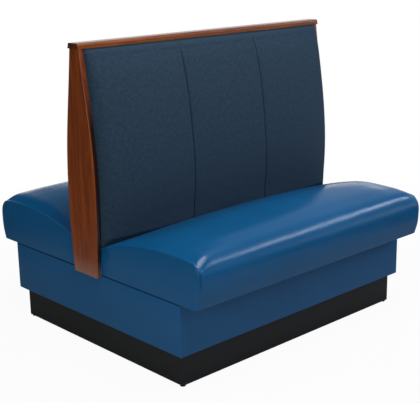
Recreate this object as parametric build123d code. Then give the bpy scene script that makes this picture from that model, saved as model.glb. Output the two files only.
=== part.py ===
from build123d import *
import math
import os

# A double restaurant booth: two spring seats share one channelled back between wood end panels.
# X runs along the booth, the front seat faces -Y, Z is up, and the origin is on the floor
# under the middle of the booth.

os.makedirs("parts", exist_ok=True)

# Overall sizes
overall_length = 1168.4
overall_height = 1074.0
overrun = 5.0
seat_clearance = 0.3
search_steps = 40

# Sheet goods and covers
board = 18.0
deck_board = 12.0
bent_ply = 6.0
cover = 1.2
padding_gap = 0.3

# Glides under the corners of the plinth
glide_diameter = 19.0
glide_height = 6.0
glide_inset = 12.0
glide_edge = 1.5
nail_diameter = 3.0
nail_length = 16.0

# Plinth, set back all round under the skirt
toe_recess = 24.0
plinth_height = 111.0
corner_block = 40.0

# Skirt box
skirt_depth = 933.0
skirt_height = 179.0
channel_share = 0.322

# End panels
panel_thickness = 18.0
panel_edge = 2.5
panel_hang = 10.0
panel_half_width = 77.0
panel_width_shares = (0.845, 0.961, 1.0, 0.916, 0.636, 0.338)
panel_height_shares = (0.0, 0.19, 0.41, 0.57, 0.785, 1.0)

# Cap
cap_overhang = 4.2
cap_height = 18.0
cap_reveal = 3.0
cap_lip = 4.5
cap_step = 2.5
cap_round = 7.5

# Back frame
rib_foot = 46.0
rib_shoulder = 6.0
shoulder_share = 0.687
rib_setback = 8.0
back_curve_shares = (0.0, 0.25, 0.45, 0.7, 1.0)
keeper_thickness = 12.0
keeper_gap = 0.5
top_rail = 18.0
splice_share = 0.13

# Back upholstery
lumbar_swell = 52.0
channel_crown = 7.0
end_roll = 26.0
end_reach_gain = 4.0
foot_inner_share = 0.617
foot_outer_share = 0.856
foot_reach_share = 0.907
back_height_shares = (0.0, 0.13, 0.23, 0.35, 0.49, 0.62, 0.75, 0.87, 0.955, 0.985, 1.0)
back_reach_shares = (0.88, 0.935, 0.985, 1.0, 0.955, 0.885, 0.785, 0.65, 0.515, 0.42, 0.27)
roll_depth_shares = (0.45, 0.45, 0.45, 0.45, 0.45, 0.45, 0.5, 0.55, 0.6, 0.6, 0.5)

# Seats, measured outwards from the middle of the booth; the points of a section run from
# the foot of the front over the top to the rear
seat_overhang = 100.5
seat_height = 151.0
seat_reach_shares = (0.953, 0.9885, 1.0, 0.9685, 0.868, 0.534, 0.18, 0.0816, 0.0)
seat_height_shares = (0.0, 0.361, 0.722, 0.934, 1.0, 1.0, 0.808, 0.715, 0.609)
edge_lift_shares = (0.0, 0.0, 0.0, 0.707, 1.0, 1.0, 0.4, 0.16, 0.0)
crown_lift_shares = (0.0, 0.0, 0.0, 0.0, 0.0, 1.0, 0.64, 0.24, 0.0)
draw_shares = (0.0, 1.0, 1.0, 0.0, 0.0, 0.0, 0.0, 0.0, 0.0)
cover_in_shares = (1.0, 1.0, 1.0, 1.0, 0.0, 0.0, 0.0, 0.0, -1.0)
cover_down_shares = (0.0, 0.0, 0.0, 1.0, 1.0, 1.0, 1.0, 1.0, 1.0)
edge_rise = 25.0
crown_rise = 25.0
end_roll_length = 42.0
end_draw = 4.0
end_station_shares = (0.0, 0.06, 0.2, 0.45, 1.0)
crown_station_shares = (0.75, 0.4, 0.0)

# Seat frame, springs and padding
rail_thickness = 22.0
rail_share = 0.331
spring_wire = 3.6
spring_count = 6
spring_share = 0.151
spring_half_width = 22.0
spring_pitch = 25.0
spring_bend_share = 0.48
clip_width = 16.0
clip_length = 18.0
clip_sheet = 1.2
felt = 5.0
tongue_width = 80.0
tongue_length = 90.0
tongue_thickness = 12.0
tongue_share = 0.64
tongue_reach = 30.0
tongue_clearance = 0.7

# Screws
screw_diameter = 4.0
screw_length = 30.0
screw_head = 8.0
screw_head_height = 2.6
panel_screw_height_shares = (0.1, 0.45, 0.92)
cap_screw_share = 0.46

# Worked out from the sizes above
half_box = overall_length / 2 - cap_overhang - panel_thickness
half_depth = skirt_depth / 2
plinth_length = 2 * (half_box - toe_recess)
plinth_depth = 2 * (half_depth - toe_recess)
rib_spacing = 2 * half_box * channel_share
plinth_top = glide_height + plinth_height
skirt_top = plinth_top + skirt_height
deck_top = plinth_top + deck_board
inner_x = half_box - cover - board
inner_y = half_depth - cover - board
cap_bottom = overall_height - cap_height
panel_bottom = skirt_top - panel_hang
panel_rise = cap_bottom - panel_bottom
rib_x = (-inner_x - board / 2, -rib_spacing / 2, rib_spacing / 2, inner_x + board / 2)
seam_x = rib_spacing / 2
keeper_bottom = skirt_top + seat_clearance + tongue_thickness + tongue_clearance
splice_top = skirt_top + splice_share * (cap_bottom - top_rail - skirt_top)
seat_bottom = skirt_top + seat_clearance
rib_shoulder_height = seat_bottom + shoulder_share * seat_height
keeper_top = rib_shoulder_height - rib_shoulder
seat_half = half_box - seat_clearance
seat_rear = rib_foot + keeper_thickness + keeper_gap
seat_front_full = half_depth + seat_overhang
spring_spacing = 2 * seat_half * spring_share
tongue_spacing = 2 * seat_half * tongue_share
seat_front_foot = seat_rear + seat_reach_shares[0] * (seat_front_full - seat_rear)
panel_top = panel_half_width * panel_width_shares[-1]
lumbar_reach = panel_half_width + lumbar_swell
foot_inner_height = seat_bottom + foot_inner_share * seat_height
foot_outer_height = seat_bottom + foot_outer_share * seat_height
foot_outer_reach = foot_reach_share * lumbar_reach
rail_top = seat_bottom + rail_share * seat_height
wire_middle = rail_top + clip_sheet + spring_wire / 2
felt_bottom = wire_middle + spring_wire / 2 + clip_sheet
foam_bottom = felt_bottom + felt
rail_front = seat_front_foot - cover
rail_rear = seat_rear + cover


def block(x0, x1, y0, y1, z0, z1):
    """A box between two corners."""
    size = Box(x1 - x0, y1 - y0, z1 - z0)
    return Pos((x0 + x1) / 2, (y0 + y1) / 2, (z0 + z1) / 2) * size


def upright(radius, x, y, z0, z1):
    """A vertical cylinder."""
    return Pos(x, y, (z0 + z1) / 2) * Cylinder(radius, z1 - z0)


def crosswise(radius, x0, x1, y, z):
    """A cylinder along X."""
    return Pos((x0 + x1) / 2, y, z) * Rot(0, 90, 0) * Cylinder(radius, x1 - x0)


def as_one(shapes):
    """Separate solids kept in one node."""
    return Compound(children=[shape for shape in shapes])


def turned(shape):
    """The same piece on the rear side of the booth."""
    return Rot(0, 0, 180) * shape


def save(shape, node):
    """Write one node."""
    shape.label = node
    export_step(shape, "parts/" + node + ".step")


def panel_points(setback):
    """Half outline of an end panel from foot to cap, drawn in by a setback."""
    shares = zip(panel_width_shares, panel_height_shares)
    return [(wide * panel_half_width - setback, panel_bottom + high * panel_rise) for wide, high in shares]


def panel_reach(height, setback=0.0):
    """Half width of an end panel at a height."""
    curve = Spline(*panel_points(setback))
    low, high = 0.0, 1.0
    for _ in range(search_steps):
        middle = (low + high) / 2
        if (curve @ middle).Y < height:
            low = middle
        else:
            high = middle
    return (curve @ low).X


def side_prism(edges, x0, x1):
    """A closed outline of (reach, height) edges carried along X."""
    flat = Face(Wire(edges))
    standing = Plane.YZ * flat
    return Pos(x0, 0, 0) * extrude(standing, amount=x1 - x0, dir=(1, 0, 0))


def mirrored_outline(points):
    """A closed outline from a half outline, foot and top straight."""
    left = [(-reach, height) for reach, height in points]
    right_edge = Spline(*points)
    left_edge = Spline(*left)
    foot = Line(left[0], points[0])
    head = Line(left[-1], points[-1])
    return [foot, right_edge, head, left_edge]


def corner_places(x, y):
    """The four corners of a rectangle about the middle."""
    return [(sx * x, sy * y) for sx in (-1, 1) for sy in (-1, 1)]


def make_glides():
    """Round nail-in glides."""
    x = plinth_length / 2 - glide_inset
    y = plinth_depth / 2 - glide_inset
    glides = []
    for px, py in corner_places(x, y):
        foot = upright(glide_diameter / 2, px, py, 0, glide_height)
        foot = fillet(foot.edges().sort_by(Axis.Z)[0], glide_edge)
        nail = upright(nail_diameter / 2, px, py, glide_height, glide_height + nail_length)
        glides.append(foot + nail)
    return as_one(glides)


def make_plinth():
    """Toe-kick boards, corner blocks and the middle stretcher."""
    x = plinth_length / 2
    y = plinth_depth / 2
    front = block(-x, x, -y, -y + board, glide_height, plinth_top)
    for px, py in corner_places(x - glide_inset, y - glide_inset):
        front -= upright(nail_diameter / 2, px, py, glide_height - overrun, glide_height + nail_length)
    save(front, "toe_kick_front")
    save(turned(front), "toe_kick_rear")
    right = block(x - board, x, -y + board, y - board, glide_height, plinth_top)
    save(right, "toe_kick_right")
    save(turned(right), "toe_kick_left")
    blocks = []
    cx = x - board - corner_block / 2
    cy = y - board - corner_block / 2
    for px, py in corner_places(cx, cy):
        half = corner_block / 2
        blocks.append(block(px - half, px + half, py - half, py + half, glide_height, plinth_top))
    save(as_one(blocks), "plinth_corner_blocks")
    stretcher = block(-board / 2, board / 2, -y + board, y - board, glide_height + board, plinth_top)
    save(stretcher, "plinth_stretcher")


def make_skirt():
    """Deck, skirt boards, their vinyl wrap and the two partitions."""
    save(block(-inner_x, inner_x, -inner_y, inner_y, plinth_top, deck_top), "base_deck")
    low = plinth_top + cover
    high = skirt_top - cover
    front = block(-inner_x - board, inner_x + board, -inner_y - board, -inner_y, low, high)
    save(front, "skirt_board_front")
    save(turned(front), "skirt_board_rear")
    right = block(inner_x, inner_x + board, -inner_y, inner_y, low, high)
    save(right, "skirt_board_right")
    save(turned(right), "skirt_board_left")
    wrap = block(-half_box, half_box, -half_depth, half_depth, plinth_top, skirt_top)
    wrap -= block(-inner_x - board, inner_x + board, -inner_y - board, inner_y + board, low, high)
    wrap -= block(-inner_x, inner_x, -inner_y, inner_y, plinth_top - overrun, skirt_top + overrun)
    save(wrap, "skirt_cover")
    for name, x in (("left", rib_x[1]), ("right", rib_x[2])):
        part = block(x - board / 2, x + board / 2, -inner_y, inner_y, deck_top, skirt_top)
        save(part, "base_partition_" + name)


def screw_heights():
    """Heights of the screws that hold an end panel."""
    rise = cap_bottom - top_rail - skirt_top
    return [skirt_top + share * rise for share in panel_screw_height_shares]


def cap_screw_places():
    """Places of the screws that hold the cap."""
    reach = 2 * half_box * cap_screw_share
    return [-reach, -rib_spacing, 0, rib_spacing, reach]


def back_curve(gain):
    """The curve of the ribs from shoulder to cap, moved outwards by a gain."""
    curve = []
    for share in back_curve_shares:
        height = rib_shoulder_height + share * (cap_bottom - rib_shoulder_height)
        curve.append((panel_reach(height) - rib_setback + gain, height))
    return curve


def rib_outline():
    """Foot between the seats, then the curve of the back."""
    foot = (rib_foot, skirt_top)
    neck = (rib_foot, rib_shoulder_height)
    curve = back_curve(0.0)
    edges = []
    for side in (1, -1):
        f, n = (side * foot[0], foot[1]), (side * neck[0], neck[1])
        c = [(side * reach, height) for reach, height in curve]
        edges += [Line(f, n), Line(n, c[0]), Spline(*c)]
    edges.append(Line((-foot[0], foot[1]), foot))
    edges.append(Line((-curve[-1][0], cap_bottom), (curve[-1][0], cap_bottom)))
    return edges


def make_back_frame():
    """Ribs, splice plates, keeper rails, top rail and the bent plywood faces."""
    names = ("left_end", "left_middle", "right_middle", "right_end")
    for name, x in zip(names, rib_x):
        rib = side_prism(rib_outline(), x - board / 2, x + board / 2)
        rib -= block(x - board, x + board, -panel_half_width, panel_half_width,
                     cap_bottom - top_rail, cap_bottom + overrun)
        if abs(x) > seam_x + board:
            for height in screw_heights():
                rib -= crosswise(screw_diameter / 2, x - board, x + board, 0, height)
        save(rib, "back_rib_" + name)
    plates = []
    for x in rib_x:
        side = -1 if x > 0 else 1
        near = x + side * board / 2
        far = near + side * board
        half = rib_foot - cover
        plates.append(block(min(near, far), max(near, far), -half, half, deck_top, splice_top))
    plates = [plate - crosswise(screw_head / 2, -half_box, half_box, 0, screw_heights()[0]) for plate in plates]
    save(as_one(plates), "rib_splice_plates")
    keeper = block(-half_box + cover, half_box - cover, -rib_foot - keeper_thickness, -rib_foot,
                   keeper_bottom, keeper_top)
    save(keeper, "seat_keeper_front")
    save(turned(keeper), "seat_keeper_rear")
    half = panel_top - rib_setback
    rail = block(-half_box + cover, half_box - cover, -half, half, cap_bottom - top_rail, cap_bottom)
    for x in cap_screw_places():
        rail -= upright(screw_diameter / 2, x, 0, cap_bottom - top_rail - overrun, cap_bottom + overrun)
    save(rail, "back_top_rail")
    inner, outer = back_curve(0.0), back_curve(bent_ply)
    edges = [Spline(*inner), Line(inner[-1], outer[-1]), Spline(*outer), Line(outer[0], inner[0])]
    skin = side_prism(edges, -half_box + cover, half_box - cover)
    save(skin, "back_plywood_rear")
    save(turned(skin), "back_plywood_front")


def channel_wire(share_index, side, skin):
    """One level section of a back channel: side is -1, 0 or 1 for left, middle and right."""
    share = back_height_shares[share_index]
    height = foot_inner_height + skin + share * (cap_bottom - foot_inner_height - 2 * skin)
    seam = lumbar_reach * back_reach_shares[share_index] - skin
    back = panel_reach(height) - rib_setback + bent_ply - overrun * (2 if skin else 1)
    crest = seam + channel_crown * back_reach_shares[share_index]
    if side == 0:
        near, far = -seam_x + skin, seam_x - skin
        corners = [(near, back), (near, seam), (0, crest), (far, seam), (far, back)]
        to_space = [Vector(x, -reach, height) for x, reach in corners]
        front = Edge.make_three_point_arc(to_space[1], to_space[2], to_space[3])
        return Wire([Edge.make_line(to_space[0], to_space[1]), front,
                     Edge.make_line(to_space[3], to_space[4]), Edge.make_line(to_space[4], to_space[0])])
    near, far = seam_x + skin, half_box - skin
    side_reach = panel_reach(height) + end_reach_gain - skin
    depth = roll_depth_shares[share_index]
    roll_reach = side_reach + depth * (seam - side_reach)
    middle = (near + far - end_roll) / 2
    crest_here = (seam + roll_reach) / 2 + 2 * channel_crown * back_reach_shares[share_index]
    turn = math.sqrt(0.5)
    roll_x = far - end_roll * (1 - turn)
    corners = [(near, back), (near, seam), (middle, crest_here), (far - end_roll, roll_reach),
               (roll_x, side_reach + turn * (roll_reach - side_reach)), (far, side_reach), (far, back)]
    p = [Vector(side * x, -reach, height) for x, reach in corners]
    return Wire([Edge.make_line(p[0], p[1]), Edge.make_three_point_arc(p[1], p[2], p[3]),
                 Edge.make_three_point_arc(p[3], p[4], p[5]), Edge.make_line(p[5], p[6]),
                 Edge.make_line(p[6], p[0])])


def foot_cutter(skin):
    """What lies under the slanted foot of the back, where the seat tucks in."""
    slope = (foot_outer_height - foot_inner_height) / (foot_outer_reach - seat_rear)
    reach_a, reach_b = 0.0, 2 * lumbar_reach
    low_a = foot_inner_height + skin + slope * (reach_a - seat_rear)
    low_b = foot_inner_height + skin + slope * (reach_b - seat_rear)
    edges = [Line((-reach_a, low_a), (-reach_b, low_b)), Line((-reach_b, low_b), (-reach_b, 0)),
             Line((-reach_b, 0), (-reach_a, 0)), Line((-reach_a, 0), (-reach_a, low_a))]
    return side_prism(edges, -overall_length, overall_length)


def frame_cutter():
    """The space of the bent plywood and all behind it, a hair's gap more."""
    curve = [(-reach, height) for reach, height in back_curve(bent_ply + padding_gap)]
    low, high = (curve[0][0], 0), (curve[-1][0], overall_height)
    edges = [Line(low, curve[0]), Spline(*curve), Line(curve[-1], high),
             Line(high, (0, overall_height)), Line((0, overall_height), (0, 0)), Line((0, 0), low)]
    return side_prism(edges, -overall_length, overall_length)


def channel_body(side, skin):
    """A back channel as one closed crowned form."""
    wires = [channel_wire(index, side, skin) for index in range(len(back_height_shares))]
    return Solid.make_loft(wires, ruled=True) - foot_cutter(skin)


def make_back_upholstery():
    """Three padded channels on each side: foam strips inside sewn fabric panels."""
    foams = []
    behind = frame_cutter()
    for name, side in (("left", -1), ("middle", 0), ("right", 1)):
        inner = channel_body(side, cover)
        foams.append(inner - behind)
        panel = channel_body(side, 0.0) - behind - inner
        save(panel, "back_cover_front_" + name)
        other = {"left": "right", "middle": "middle", "right": "left"}[name]
        save(turned(panel), "back_cover_rear_" + other)
    save(as_one(foams), "back_foam_front")
    save(as_one([turned(foam) for foam in foams]), "back_foam_rear")


def make_end_panels():
    """Stained wood panels with eased edges."""
    panel = side_prism(mirrored_outline(panel_points(0)), half_box, half_box + panel_thickness)
    sides = panel.faces().sort_by(Axis.X)[-1].edges().sort_by(Axis.Y)
    panel = fillet([sides[0], sides[-1]], panel_edge)
    foot = panel.faces().sort_by(Axis.X)[-1].edges().sort_by(Axis.Z)[0]
    panel = fillet(foot, panel_edge)
    for height in screw_heights():
        panel -= crosswise(screw_diameter / 2, half_box - overrun, inner_x + screw_length, 0, height)
    save(panel, "end_panel_right")
    save(turned(panel), "end_panel_left")


def make_cap():
    """Moulded cap with a thin lip and rounded top edges."""
    lip = panel_top + cap_reveal
    body = lip - cap_step
    low, step, top = cap_bottom, cap_bottom + cap_lip, overall_height
    turn = cap_round * (1 - math.sqrt(0.5))
    edges = [Line((-lip, low), (lip, low))]
    for side in (1, -1):
        edges.append(Line((side * lip, low), (side * lip, step)))
        edges.append(Line((side * lip, step), (side * body, step)))
        edges.append(Line((side * body, step), (side * body, top - cap_round)))
        edges.append(ThreePointArc((side * body, top - cap_round), (side * (body - turn), top - turn),
                                   (side * (body - cap_round), top)))
    edges.append(Line((-body + cap_round, top), (body - cap_round, top)))
    cap = side_prism(edges, -overall_length / 2, overall_length / 2)
    for x in cap_screw_places():
        cap -= upright(screw_diameter / 2, x, 0, cap_bottom - overrun, cap_bottom - top_rail + screw_length)
    save(cap, "top_cap")


def screw():
    """A flat-headed wood screw along +Z with its head face at zero."""
    shank = Pos(0, 0, screw_length / 2) * Cylinder(screw_diameter / 2, screw_length)
    head = Pos(0, 0, -screw_head_height / 2) * Cylinder(screw_head / 2, screw_head_height)
    return shank + head


def make_screws():
    """Screws of the end panels and of the cap."""
    sides = []
    for side in (-1, 1):
        for height in screw_heights():
            sides.append(Pos(side * inner_x, 0, height) * Rot(0, side * 90, 0) * screw())
    save(as_one(sides), "panel_screws")
    save(as_one([Pos(x, 0, cap_bottom - top_rail) * screw() for x in cap_screw_places()]), "cap_screws")


def seat_wire(x, edge, crown, draw, skin):
    """A section of a seat across the booth; edge and crown run from 0 at the ends to 1."""
    depth = seat_front_full - seat_rear
    below = overrun if skin else 0
    p = [Vector(x, -seat_rear - skin, seat_bottom - below)]
    for index, share in enumerate(seat_reach_shares):
        lift = edge * edge_lift_shares[index] * edge_rise + crown * crown_lift_shares[index] * crown_rise
        out = seat_rear + share * depth - draw * draw_shares[index] - skin * cover_in_shares[index]
        up = seat_bottom + seat_height_shares[index] * seat_height + lift - skin * cover_down_shares[index]
        p.append(Vector(x, -out, up))
    p[1] -= Vector(0, 0, below)
    return Wire([Edge.make_line(p[0], p[1]), Edge.make_three_point_arc(p[1], p[2], p[3]),
                 Edge.make_three_point_arc(p[3], p[4], p[5]), Edge.make_three_point_arc(p[5], p[6], p[7]),
                 Edge.make_three_point_arc(p[7], p[8], p[9]), Edge.make_line(p[9], p[0])])


def seat_body(skin):
    """A seat as one closed crowned form with rolled ends."""
    half = seat_half - skin
    flat = half - end_roll_length
    stations = []
    for share in end_station_shares:
        edge = math.sqrt(1 - (1 - share) ** 2)
        stations.append((half - share * end_roll_length, edge, 0.0, end_draw * (1 - edge)))
    for share in crown_station_shares:
        stations.append((flat * share, 1.0, 1 - share ** 2, 0.0))
    left = [(-x, edge, crown, draw) for x, edge, crown, draw in stations[:-1]]
    wires = [seat_wire(x, edge, crown, draw, skin) for x, edge, crown, draw in left + stations[::-1]]
    return Solid.make_loft(wires, ruled=True)


def tongue_places():
    """Middles of the two tongues along the booth."""
    return (-tongue_spacing / 2, tongue_spacing / 2)


def tongue(x, gap=0.0):
    """A plywood tongue behind the seat that runs under the keeper rail."""
    half = tongue_width / 2 + gap
    return block(x - half, x + half, -tongue_reach - tongue_length, -tongue_reach,
                 seat_bottom - gap, seat_bottom + tongue_thickness + gap)


def make_rails():
    """Four hardwood rails of a seat frame."""
    x = seat_half - cover
    front = block(-x, x, -rail_front, -rail_front + rail_thickness, seat_bottom, rail_top)
    rear = block(-x, x, -rail_rear - rail_thickness, -rail_rear, seat_bottom, rail_top)
    for place in tongue_places():
        rear -= tongue(place)
    right = block(x - rail_thickness, x, -rail_front + rail_thickness, -rail_rear - rail_thickness,
                  seat_bottom, rail_top)
    left = Pos(rail_thickness - 2 * x, 0, 0) * right
    return {"front_rail": front, "back_rail": rear, "right_rail": right, "left_rail": left}


def spring_places():
    """Middles of the springs along the booth."""
    first = -(spring_count - 1) / 2
    return [(first + index) * spring_spacing for index in range(spring_count)]


def make_springs():
    """Sinuous springs from rail to rail and the clips that hold their ends."""
    start = -rail_rear - rail_thickness / 2
    run = rail_front - rail_rear - rail_thickness
    count = 2 * round(run / spring_pitch / 2)
    pitch = run / count
    points = []
    for index in range(count + 1):
        side = 1 if index % 2 == 0 else -1
        y = start - index * pitch
        points += [(-side * spring_half_width, y, wire_middle), (side * spring_half_width, y, wire_middle)]
    path = FilletPolyline(*points, radius=pitch * spring_bend_share)
    section = Plane(origin=path @ 0, z_dir=path % 0) * Circle(spring_wire / 2)
    spring = sweep(section, path=path)
    springs = as_one([Pos(x, 0, 0) * spring for x in spring_places()])
    clips = []
    for x in spring_places():
        for y in (start, start - run):
            clips.append(spring_clip(x, y))
    return {"springs": springs, "spring_clips": as_one(clips)}


def spring_clip(x, y):
    """A bent steel clip nailed on a rail, its eye round the end of a spring."""
    half = clip_width / 2
    base = block(x - half, x + half, y - clip_length / 2, y + clip_length / 2, rail_top, rail_top + clip_sheet)
    eye_outer = crosswise(spring_wire / 2 + clip_sheet, x - half, x + half, y, wire_middle)
    eye_inner = crosswise(spring_wire / 2, x - clip_width, x + clip_width, y, wire_middle)
    return base + eye_outer - eye_inner


def make_seat():
    """All the pieces of the front seat by their short names."""
    outer = seat_body(0.0)
    inner = seat_body(cover)
    pieces = make_rails()
    pieces.update(make_springs())
    reach = 2 * seat_front_full
    low = block(-reach, reach, -reach, reach, 0, foam_bottom)
    pieces["foam"] = inner - low
    roll_box = block(-seat_half + rail_thickness, seat_half - rail_thickness, -reach, -rail_front,
                     seat_bottom, foam_bottom)
    pieces["edge_roll"] = inner & roll_box
    skin = outer - inner
    for place in tongue_places():
        skin -= tongue(place, seat_clearance)
    pieces["cover"] = skin
    x = seat_half - rail_thickness
    pieces["felt"] = block(-x, x, -rail_front + cover, -rail_rear - cover, felt_bottom, foam_bottom)
    pieces["tongues"] = as_one([tongue(place) for place in tongue_places()])
    return pieces


def main():
    save(make_glides(), "corner_glides")
    make_plinth()
    make_skirt()
    make_back_frame()
    make_back_upholstery()
    make_end_panels()
    make_cap()
    make_screws()
    for name, piece in make_seat().items():
        save(piece, "front_seat_" + name)
        if name == "springs":
            shift = Pos(0, rail_front + rail_rear, 0)
            save(as_one([shift * spring for spring in piece.children]), "rear_seat_" + name)
        else:
            save(turned(piece), "rear_seat_" + name)


main()
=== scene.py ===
# %% [markdown]
# # A back-to-back restaurant booth
# Two boxed spring seats in glossy blue vinyl share one upright back. The back is covered in navy
# woven cloth, sewn into three channels a side, and closed by stained wood ends and a moulded cap.
# The hard parts come from the construction model and only get their finishes here. Everything that
# is stuffed or covered is made anew, because cloth over foam is never as crisp as its drawing.

# %% The frame
import math
import bpy
import numpy as np
from mathutils import Matrix, Vector


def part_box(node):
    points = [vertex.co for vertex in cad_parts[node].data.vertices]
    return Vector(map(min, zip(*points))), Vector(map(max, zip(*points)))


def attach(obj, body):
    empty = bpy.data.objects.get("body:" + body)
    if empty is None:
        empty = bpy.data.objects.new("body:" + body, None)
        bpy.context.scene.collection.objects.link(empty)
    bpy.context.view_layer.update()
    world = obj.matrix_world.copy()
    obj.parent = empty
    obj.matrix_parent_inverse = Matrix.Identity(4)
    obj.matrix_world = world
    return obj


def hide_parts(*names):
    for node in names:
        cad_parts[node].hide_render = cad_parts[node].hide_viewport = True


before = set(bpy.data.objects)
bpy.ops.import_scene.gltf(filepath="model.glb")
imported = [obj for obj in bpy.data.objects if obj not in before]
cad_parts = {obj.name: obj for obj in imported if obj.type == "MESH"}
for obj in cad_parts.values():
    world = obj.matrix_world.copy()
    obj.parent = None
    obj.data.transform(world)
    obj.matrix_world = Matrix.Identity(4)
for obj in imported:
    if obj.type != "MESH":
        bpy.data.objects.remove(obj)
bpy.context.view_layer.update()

# %% [markdown]
# ## Two small tools for finishes
# Colours are written as the sRGB hex values that a colour chart would give, and one function turns
# them to the linear values that light is reckoned in. A second function adds a node, gives it its
# settings, and either fills a socket or links it, so a material reads like a recipe.

# %% Colour and node helpers
MM = 0.001


def paint(code):
    """sRGB hex to linear: below 0.04045 divided by 12.92, above it ((c + 0.055) / 1.055) to the power 2.4."""
    c = np.array([int(code[i:i + 2], 16) for i in (0, 2, 4)]) / 255
    linear = np.where(c < 0.04045, c / 12.92, ((c + 0.055) / 1.055) ** 2.4)
    return (*linear.tolist(), 1.0)


def add(tree, kind, sockets=None, **settings):
    """Adds a node. A socket's entry is either a plain value or another node's output to link."""
    node = tree.nodes.new(kind)
    for name, value in settings.items():
        setattr(node, name, value)
    for key, value in (sockets or {}).items():
        if isinstance(value, bpy.types.NodeSocket):
            tree.links.new(value, node.inputs[key])
        else:
            node.inputs[key].default_value = value
    return node


def ramp(tree, amount, stops):
    """A colour ramp through (position, hex) stops."""
    node = add(tree, "ShaderNodeValToRGB", {"Fac": amount})
    band = node.color_ramp.elements
    while len(band) < len(stops):
        band.new(0.5)
    for element, (place, code) in zip(band, stops):
        element.position = place
        element.color = paint(code)
    return node.outputs["Color"]


def finish_named(name):
    """An empty material with its output, ready for a shader."""
    made = bpy.data.materials.new(name)
    made.use_nodes = True
    made.node_tree.nodes.clear()
    return made, made.node_tree


def shadow_line(tree, colour, top):
    """Paints a shadow: darkens a colour over the last 4 mm below a height, where one piece goes in under
    another.
    """
    place = add(tree, "ShaderNodeTexCoord").outputs["Object"]
    height = add(tree, "ShaderNodeSeparateXYZ", {0: place}).outputs["Z"]
    level = add(tree, "ShaderNodeMapRange", {0: height, 1: top - 5 * MM, 2: top - 3.5 * MM,
                                             3: 1.0, 4: 0.3}).outputs[0]
    return add(tree, "ShaderNodeMix", {0: 1.0, 6: colour, 7: level}, data_type="RGBA",
               blend_type="MULTIPLY").outputs[2]


# %% [markdown]
# ## Stained cherry under satin lacquer
# The end panels and the cap are solid wood, stained reddish brown and sprayed with satin lacquer.
# Cherry has fine, straight grain: long streaks a few millimetres apart, slow clouds of darker
# stain, and tiny pores. All three are noise stretched along the grain, upright on the panels and
# lengthwise on the cap. The lacquer is a clear coat, which gives the arrises their soft glint.
# The cap's ends are darker. The narrow edge of a panel beside the padding lies in the padding's
# shade below its shoulder, and that shade is painted on, almost black. The panel's foot is painted
# paler, a painted reflection of the floor.

# %% Stained wood
panel_face, cap_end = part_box("end_panel_right")[1].x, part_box("top_cap")[1].x
shoulder_low, shoulder_high = 800 * MM, 930 * MM
# Heights over which the panels' foot gets a painted reflection of the floor.
floor_reflection_low, floor_reflection_high = 290 * MM, 350 * MM


def stained_cherry(name, grain_axis, tone, lacquer, painted_shade_and_dark_ends):
    """Wood with its grain along one axis (0, 1 or 2); tone is three hex stops, dark to light.

    The last argument takes the distance from the booth's middle and the height, and gives the share
    of near-black: painted shade on the panels' narrow edges, darker ends on the cap.
    """
    made, tree = finish_named(name)
    place = add(tree, "ShaderNodeTexCoord").outputs["Object"]
    stretch = [1.0, 1.0, 1.0]
    stretch[grain_axis] = 0.045
    along = add(tree, "ShaderNodeMapping", {"Vector": place, "Scale": stretch}).outputs["Vector"]
    streak = add(tree, "ShaderNodeTexNoise", {"Vector": along, "Scale": 150.0, "Detail": 6.0,
                                              "Roughness": 0.62, "Distortion": 0.6}).outputs["Fac"]
    cloud = add(tree, "ShaderNodeTexNoise", {"Vector": along, "Scale": 22.0, "Detail": 3.0,
                                             "Distortion": 1.5}).outputs["Fac"]
    pores = add(tree, "ShaderNodeTexNoise", {"Vector": along, "Scale": 900.0, "Detail": 2.0}).outputs["Fac"]
    both = add(tree, "ShaderNodeMix", {0: 0.5, 2: streak, 3: cloud}, data_type="FLOAT").outputs[0]
    colour = ramp(tree, both, [(0.34, tone[0]), (0.52, tone[1]), (0.70, tone[2])])
    pit = add(tree, "ShaderNodeMapRange", {0: pores, 1: 0.30, 2: 0.42, 3: 0.55, 4: 1.0}).outputs[0]
    darker = add(tree, "ShaderNodeMix", {0: 1.0, 6: colour, 7: pit}, data_type="RGBA",
                 blend_type="MULTIPLY").outputs[2]
    parts = add(tree, "ShaderNodeSeparateXYZ", {0: place})
    sideways = add(tree, "ShaderNodeMath", {0: parts.outputs["X"]}, operation="ABSOLUTE").outputs[0]
    # Painted shade, near-black, on the panels' narrow edges below the shoulder; darker ends on the cap.
    with_painted_shade_and_dark_ends = add(tree, "ShaderNodeMix", {0: painted_shade_and_dark_ends(tree, sideways, parts.outputs["Z"]), 6: darker,
                                        7: paint("0f0b0a")}, data_type="RGBA").outputs[2]
    # The foot is painted paler: a painted reflection of the floor.
    foot = add(tree, "ShaderNodeMapRange", {0: parts.outputs["Z"], 1: floor_reflection_low, 2: floor_reflection_high,
                                            3: 0.42, 4: 0.0}).outputs[0]
    floor_reflection_painted = add(tree, "ShaderNodeMix", {0: foot, 6: with_painted_shade_and_dark_ends, 7: paint("a08474")}, data_type="RGBA").outputs[2]
    gloss = add(tree, "ShaderNodeMapRange", {0: streak, 3: 0.34, 4: 0.46}).outputs[0]
    bump = add(tree, "ShaderNodeBump", {"Height": both, "Strength": 0.12, "Distance": 0.4 * MM}).outputs[0]
    skin = add(tree, "ShaderNodeBsdfPrincipled", {
        "Base Color": floor_reflection_painted, "Roughness": gloss, "Normal": bump, "IOR": 1.5, "Specular IOR Level": 0.25,
        "Coat Weight": lacquer, "Coat Roughness": 0.16, "Coat IOR": 1.5})
    add(tree, "ShaderNodeOutputMaterial", {"Surface": skin.outputs[0]})
    return made


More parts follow.
